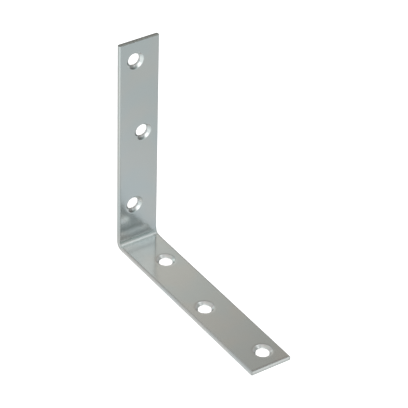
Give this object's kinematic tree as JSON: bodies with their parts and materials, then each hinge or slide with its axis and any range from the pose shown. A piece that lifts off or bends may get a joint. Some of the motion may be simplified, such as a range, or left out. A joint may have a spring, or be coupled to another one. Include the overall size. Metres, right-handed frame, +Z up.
{
  "type": "angle bracket",
  "caption": "Zinc-plated steel strip folded square into an angle bracket, with staggered countersunk screw holes along both legs, for holding corners together.",
  "frame": {"origin": "middle of the base leg's underside, which is the bottom centre of the bracket's box", "axes": "+X along the base leg away from the fold, +Y across the strip, +Z up along the upright leg; the countersinks open on the inner faces"},
  "size_m": [0.1, 0.0194, 0.1],
  "materials": {
    "zinc_plated_steel": "satin bright zinc plating over rolled steel strip"
  },
  "bodies": {
    "root": {"angle_bracket": "zinc_plated_steel"}
  },
  "joints": []
}
